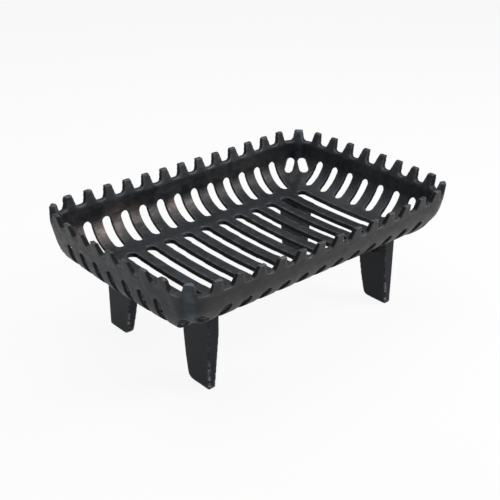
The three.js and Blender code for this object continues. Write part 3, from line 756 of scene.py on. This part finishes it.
WIPE = 2.0
oxide_steel = bpy.data.materials.new("black_oxide_steel")
oxide_steel.use_nodes = True
surface = oxide_steel.node_tree.nodes["Principled BSDF"]
place = add_node(oxide_steel, "ShaderNodeTexCoord", "Object")
wiped = add_node(oxide_steel, "ShaderNodeTexNoise", "Fac", {
    "Vector": place, "Scale": 1 / (WIPE * MM), "Detail": 3.0})
colour = lay_over(oxide_steel, shade("#1f1f21"), "#343437", [(wiped, 0, 1, 0, 1)])
oxide_steel.node_tree.links.new(colour, surface.inputs["Base Color"])
surface.inputs["Metallic"].default_value = 0.9
surface.inputs["Roughness"].default_value = 0.4
for kind in ("bolt", "washer"):
    for corner in CORNERS:
        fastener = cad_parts[f"{kind}_{corner}"]
        fastener.data.materials.clear()
        fastener.data.materials.append(oxide_steel)

# ------------------------------------------------------------------ studio
# A plain pale floor in a white room, under a large soft box overhead and a smaller, stronger one at
# the camera's right. The camera sees the floor nearly white, with the object's shadow, and mirrored
# rays see less than half of that white. Sizes and places here are in metres.

FLOOR_GLOW = 0.9
FLOOR_MIRRORED = 0.45
deselect_all()
bpy.ops.mesh.primitive_plane_add(size=14.0, location=(0, 0, 0))
floor = bpy.context.object
floor.name = "floor"
paper = bpy.data.materials.new("white_paper")
paper.use_nodes = True
surface = paper.node_tree.nodes["Principled BSDF"]
surface.inputs["Base Color"].default_value = shade("#d6d6d6")
surface.inputs["Roughness"].default_value = 0.9
surface.inputs["Specular IOR Level"].default_value = 0.1
glow = add_node(paper, "ShaderNodeEmission", "Emission", {"Color": (1, 1, 1, 1), "Strength": 1.0})
straight, glossy, through = (
    add_node(paper, "ShaderNodeLightPath", ray)
    for ray in ("Is Camera Ray", "Is Glossy Ray", "Is Transmission Ray"))
mirrored = add_node(paper, "ShaderNodeMath", "Value", {0: glossy, 1: through}, operation="MAXIMUM")
mirrored = add_node(paper, "ShaderNodeMath", "Value", {
    0: mirrored, 1: FLOOR_MIRRORED}, operation="MULTIPLY")
seen = add_node(paper, "ShaderNodeMath", "Value", {0: straight, 1: mirrored}, operation="MAXIMUM")
seen = add_node(paper, "ShaderNodeMath", "Value", {0: seen, 1: FLOOR_GLOW}, operation="MULTIPLY")
lit = add_node(paper, "ShaderNodeMixShader", "Shader", {0: seen, 1: surface.outputs["BSDF"], 2: glow})
paper.node_tree.links.new(lit, paper.node_tree.nodes["Material Output"].inputs["Surface"])
floor.data.materials.append(paper)

# Only the camera sees the room white. Every other ray meets the strength that lights the object.
world = bpy.data.worlds.new("white_room")
bpy.context.scene.world = world
world.use_nodes = True
room = world.node_tree.nodes["Background"]
room.inputs["Color"].default_value = (1, 1, 1, 1)
room.inputs["Strength"].default_value = 0.34
white = add_node(world, "ShaderNodeBackground", "Background", {"Color": (1, 1, 1, 1), "Strength": 1.0})
straight = add_node(world, "ShaderNodeLightPath", "Is Camera Ray")
chosen = add_node(world, "ShaderNodeMixShader", "Shader", {
    0: straight, 1: room.outputs["Background"], 2: white})
world.node_tree.links.new(chosen, world.node_tree.nodes["World Output"].inputs["Surface"])


def soft_box(name, place, target, size, power, tint):
    lamp = bpy.data.lights.new(name, "AREA")
    lamp.size, lamp.energy, lamp.color = size, power, tint
    holder = bpy.data.objects.new(name, lamp)
    bpy.context.scene.collection.objects.link(holder)
    holder.location = place
    aim = Vector(target) - Vector(place)
    holder.rotation_euler = aim.to_track_quat("-Z", "Y").to_euler()


soft_box("overhead_box", (-0.1, 0.35, 1.5), (0, 0, 0.1), 1.3, 16.0, (1.0, 1.0, 1.0))
soft_box("right_box", (1.0, -0.95, 1.2), (0, 0, 0.1), 0.7, 22.0, (1.0, 0.985, 0.96))
bpy.context.scene.view_settings.view_transform = "Standard"

# ------------------------------------------------------------------ camera
# The photograph's view: from the front left, a little above, with a short telephoto lens.

AZIMUTH, ELEVATION, ROLL = math.radians(-131.660), math.radians(26.541), math.radians(0.265)
CAMERA_PLACE = Vector((-724.04, -807.29, 633.63)) * MM
SENSOR_WIDTH = 36.0
FOCAL_PIXELS = 947.671
IMAGE_WIDTH = 500
back_to_camera = Vector((
    math.cos(ELEVATION) * math.cos(AZIMUTH),
    math.cos(ELEVATION) * math.sin(AZIMUTH),
    math.sin(ELEVATION),
))
aside = Vector((0, 0, 1)).cross(back_to_camera).normalized()
up = back_to_camera.cross(aside)
right = aside * math.cos(ROLL) + up * math.sin(ROLL)
up = up * math.cos(ROLL) - aside * math.sin(ROLL)
lens = bpy.data.cameras.new("camera")
lens.sensor_width, lens.sensor_fit = SENSOR_WIDTH, "HORIZONTAL"
lens.lens = FOCAL_PIXELS / IMAGE_WIDTH * SENSOR_WIDTH
lens.clip_start, lens.clip_end = 0.01, 50.0
camera = bpy.data.objects.new("camera", lens)
bpy.context.scene.collection.objects.link(camera)
turned = Matrix((right, up, back_to_camera)).transposed().to_4x4()
camera.matrix_world = Matrix.Translation(CAMERA_PLACE) @ turned
bpy.context.scene.camera = camera
